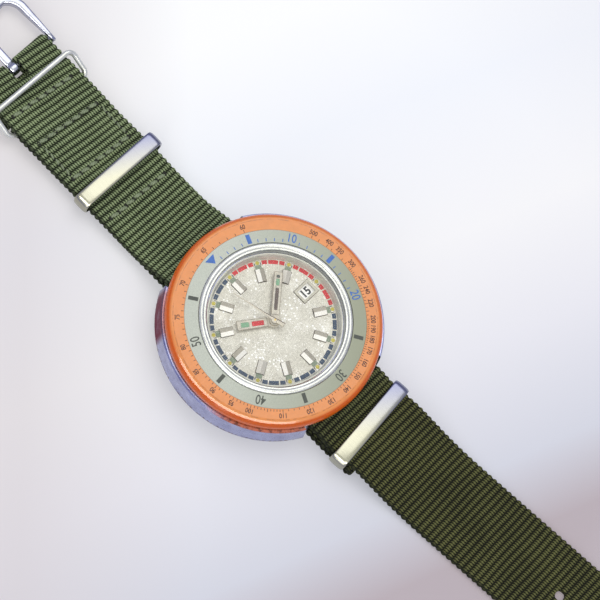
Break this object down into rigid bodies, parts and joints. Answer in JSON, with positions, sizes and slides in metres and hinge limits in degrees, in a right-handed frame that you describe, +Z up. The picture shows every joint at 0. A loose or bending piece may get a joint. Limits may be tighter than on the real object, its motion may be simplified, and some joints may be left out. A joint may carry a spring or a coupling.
{
  "type": "wristwatch",
  "caption": "Hand-wound diver's wristwatch with two turning rings, domed crystal, date window and a pass-through webbing strap with metal keepers and buckle.",
  "frame": {"origin": "on the dial axis, in the plane that the laid-out strap rests on", "axes": "+Z up through the dial and crystal, +Y towards 12 o'clock and the buckle, +X towards 3 o'clock and the crown"},
  "size_m": [0.0477, 0.2632, 0.0146],
  "materials": {
    "case_steel": "satin",
    "orange_insert": "gloss",
    "grey_insert": "gloss",
    "spring_steel": "polished",
    "crystal": "clear",
    "gasket": "matte",
    "dial_silver": "grained",
    "marker": "polished",
    "hand_cream": "satin",
    "plate_brass": "satin",
    "wheel_brass": "polished",
    "pinion_steel": "polished",
    "blue_steel": "polished",
    "ruby": "clear",
    "holder_steel": "satin",
    "date_white": "matte",
    "webbing": "woven",
    "hardware_steel": "polished"
  },
  "bodies": {
    "case_body": {"case": "case_steel", "caseback": "case_steel", "caseback_gasket": "gasket", "ring_click_spring": "spring_steel", "ring_snap_wire": "spring_steel", "crystal_hold_ring": "case_steel", "crystal": "crystal", "crystal_gasket": "gasket", "rehaut_ring": "case_steel", "dial": "dial_silver", "hour_markers": "marker", "date_window_frame": "marker", "crown_tube": "case_steel", "spring_bars": "spring_steel", "movement_holder": "holder_steel", "main_plate": "plate_brass", "barrel_bridge": "plate_brass", "train_bridge": "plate_brass", "pallet_bridge": "plate_brass", "balance_cock": "plate_brass", "hairspring": "blue_steel", "calendar_plate": "holder_steel", "jewels": "ruby", "bridge_screws": "blue_steel", "main_strap": "webbing", "under_strap": "webbing"},
    "tachymeter": {"tachymeter_ring": "orange_insert"},
    "dive": {"dive_ring": "grey_insert"},
    "seconds": {"fourth_wheel": "wheel_brass", "seconds_hand": "hand_cream"},
    "third": {"third_wheel": "wheel_brass"},
    "centre": {"centre_wheel": "wheel_brass"},
    "barrel": {"barrel_drum": "plate_brass", "mainspring": "blue_steel"},
    "escape": {"escape_wheel": "pinion_steel"},
    "minute": {"cannon_pinion": "pinion_steel", "minute_hand": "hand_cream"},
    "minute_wheel_body": {"minute_wheel": "wheel_brass"},
    "hour": {"hour_wheel": "wheel_brass", "hour_hand": "hand_cream"},
    "setting": {"setting_wheel": "pinion_steel"},
    "date_drive": {"date_driving_wheel": "wheel_brass"},
    "date": {"date_ring": "date_white"},
    "winding": {"winding_pinion": "pinion_steel"},
    "crown_body": {"crown": "case_steel", "winding_stem": "pinion_steel"},
    "crown_wheel_body": {"crown_wheel": "pinion_steel"},
    "ratchet": {"ratchet_wheel": "pinion_steel", "barrel_arbor": "pinion_steel"},
    "clutch": {"sliding_pinion": "pinion_steel"},
    "lever": {"setting_lever": "spring_steel"},
    "yoke_body": {"yoke": "spring_steel"},
    "click_body": {"click": "spring_steel"},
    "balance": {"balance_wheel": "wheel_brass"},
    "pallet": {"pallet_fork": "pinion_steel"},
    "thin_keeper_body": {"thin_keeper": "hardware_steel"},
    "wide_keeper_body": {"wide_keeper": "hardware_steel"},
    "tail_keeper_body": {"tail_keeper": "hardware_steel"},
    "buckle": {"buckle_frame": "hardware_steel"},
    "tongue": {"buckle_tongue": "hardware_steel"}
  },
  "joints": [
    {"name": "tachymeter_turn", "type": "hinge", "parent": "case_body", "child": "tachymeter", "pos_m": [0, 0, 0.0106], "axis": [0, 0, 1], "continuous": true},
    {"name": "dive_ring_turn", "type": "hinge", "parent": "case_body", "child": "dive", "pos_m": [0, 0, 0.0106], "axis": [0, 0, 1], "continuous": true},
    {"name": "seconds_turn", "type": "hinge", "parent": "case_body", "child": "seconds", "pos_m": [0, 0, 0.0066], "axis": [0, 0, -1], "continuous": true},
    {"name": "third_turn", "type": "hinge", "parent": "case_body", "child": "third", "pos_m": [-0.00318, 0.00379, 0.0066], "axis": [0, 0, -1], "continuous": true},
    {"name": "centre_turn", "type": "hinge", "parent": "case_body", "child": "centre", "pos_m": [0, 0, 0.0066], "axis": [0, 0, -1], "continuous": true},
    {"name": "barrel_turn", "type": "hinge", "parent": "case_body", "child": "barrel", "pos_m": [0.00295, 0.00511, 0.0066], "axis": [0, 0, -1], "continuous": true},
    {"name": "escape_turn", "type": "hinge", "parent": "case_body", "child": "escape", "pos_m": [-0.0045, -0.00164, 0.0066], "axis": [0, 0, -1], "continuous": true},
    {"name": "minute_turn", "type": "hinge", "parent": "case_body", "child": "minute", "pos_m": [0, 0, 0.0066], "axis": [0, 0, -1], "continuous": true},
    {"name": "minute_wheel_turn", "type": "hinge", "parent": "case_body", "child": "minute_wheel_body", "pos_m": [0.00293, -0.00107, 0.0066], "axis": [0, 0, -1], "continuous": true},
    {"name": "hour_turn", "type": "hinge", "parent": "case_body", "child": "hour", "pos_m": [0, 0, 0.0066], "axis": [0, 0, -1], "continuous": true},
    {"name": "setting_turn", "type": "hinge", "parent": "case_body", "child": "setting", "pos_m": [0.00623, -0.00136, 0.0066], "axis": [0, 0, -1], "continuous": true},
    {"name": "date_drive_turn", "type": "hinge", "parent": "case_body", "child": "date_drive", "pos_m": [0, -0.0045, 0.0066], "axis": [0, 0, -1], "continuous": true},
    {"name": "date_turn", "type": "hinge", "parent": "case_body", "child": "date", "pos_m": [0, 0, 0.0066], "axis": [0, 0, -1], "continuous": true},
    {"name": "crown_turn", "type": "hinge", "parent": "case_body", "child": "winding", "pos_m": [0, 0, 0.007], "axis": [1, 0, 0], "continuous": true},
    {"name": "crown_pull", "type": "slide", "parent": "winding", "child": "crown_body", "axis": [1, 0, 0], "range_m": [0, 0.0008]},
    {"name": "crown_wheel_turn", "type": "hinge", "parent": "case_body", "child": "crown_wheel_body", "pos_m": [0.0077, 0.0009, 0.0066], "axis": [0, 0, 1], "continuous": true},
    {"name": "ratchet_turn", "type": "hinge", "parent": "case_body", "child": "ratchet", "pos_m": [0.00295, 0.00511, 0.0066], "axis": [0, 0, 1], "continuous": true},
    {"name": "clutch_slide", "type": "slide", "parent": "winding", "child": "clutch", "axis": [1, 0, 0], "range_m": [-0.0006, 0]},
    {"name": "lever_turn", "type": "hinge", "parent": "case_body", "child": "lever", "pos_m": [0.0106, 0.0029, 0.007], "axis": [0, 0, 1], "range_deg": [0, 16.6]},
    {"name": "yoke_turn", "type": "hinge", "parent": "case_body", "child": "yoke_body", "pos_m": [0.00964, -0.0029, 0.007], "axis": [0, 0, 1], "range_deg": [0, 12.5]},
    {"name": "click_turn", "type": "hinge", "parent": "case_body", "child": "click_body", "pos_m": [0.00203, 0.01033, 0.0066], "axis": [0, 0, 1], "range_deg": [0, 8], "stiffness_Nm_per_rad": 0.000002},
    {"name": "balance_swing", "type": "hinge", "parent": "case_body", "child": "balance", "pos_m": [-0.00129, -0.00622, 0.0066], "axis": [0, 0, -1], "range_deg": [-270, 270], "stiffness_Nm_per_rad": 0.0000003},
    {"name": "pallet_rock", "type": "hinge", "parent": "case_body", "child": "pallet", "pos_m": [-0.00292, -0.00389, 0.0066], "axis": [0, 0, -1], "range_deg": [-5.2, 5.2]},
    {"name": "thin_keeper_tilt", "type": "hinge", "parent": "case_body", "child": "thin_keeper_body", "pos_m": [0.0008, 0.0662, 0.00185], "axis": [1, 0, 0], "range_deg": [0, 40]},
    {"name": "wide_keeper_slide", "type": "slide", "parent": "case_body", "child": "wide_keeper_body", "axis": [0, 1, 0], "range_m": [-0.0005, 0.0005]},
    {"name": "tail_keeper_slide", "type": "slide", "parent": "case_body", "child": "tail_keeper_body", "axis": [0, 1, 0], "range_m": [-0.0003, 0.0003]},
    {"name": "buckle_swing", "type": "hinge", "parent": "case_body", "child": "buckle", "pos_m": [0.0008, 0.0773, 0.00205], "axis": [1, 0, 0], "range_deg": [0, 75]},
    {"name": "tongue_swing", "type": "hinge", "parent": "buckle", "child": "tongue", "pos_m": [0.0008, 0.0773, 0.00205], "axis": [1, 0, 0], "range_deg": [0, 45]}
  ],
  "couplings": [
    {"joint": "third_turn", "follows": "seconds_turn", "ratio": -0.13333},
    {"joint": "centre_turn", "follows": "seconds_turn", "ratio": 0.016667},
    {"joint": "barrel_turn", "follows": "seconds_turn", "ratio": -0.0023148},
    {"joint": "escape_turn", "follows": "seconds_turn", "ratio": -10},
    {"joint": "minute_wheel_turn", "follows": "minute_turn", "ratio": -0.33333},
    {"joint": "hour_turn", "follows": "minute_turn", "ratio": 0.083333},
    {"joint": "setting_turn", "follows": "minute_turn", "ratio": 0.8},
    {"joint": "date_drive_turn", "follows": "minute_turn", "ratio": -0.041667},
    {"joint": "date_turn", "follows": "minute_turn", "ratio": -0.0013441},
    {"joint": "crown_wheel_turn", "follows": "crown_turn", "ratio": 0.5},
    {"joint": "ratchet_turn", "follows": "crown_turn", "ratio": -0.33333},
    {"joint": "clutch_slide", "follows": "crown_pull", "ratio": -0.75},
    {"joint": "lever_turn", "follows": "crown_pull", "rad_per_m": 360},
    {"joint": "yoke_turn", "follows": "crown_pull", "rad_per_m": 270},
    {"joint": "pallet_rock", "follows": "balance_swing", "ratio": 0.018889}
  ]
}
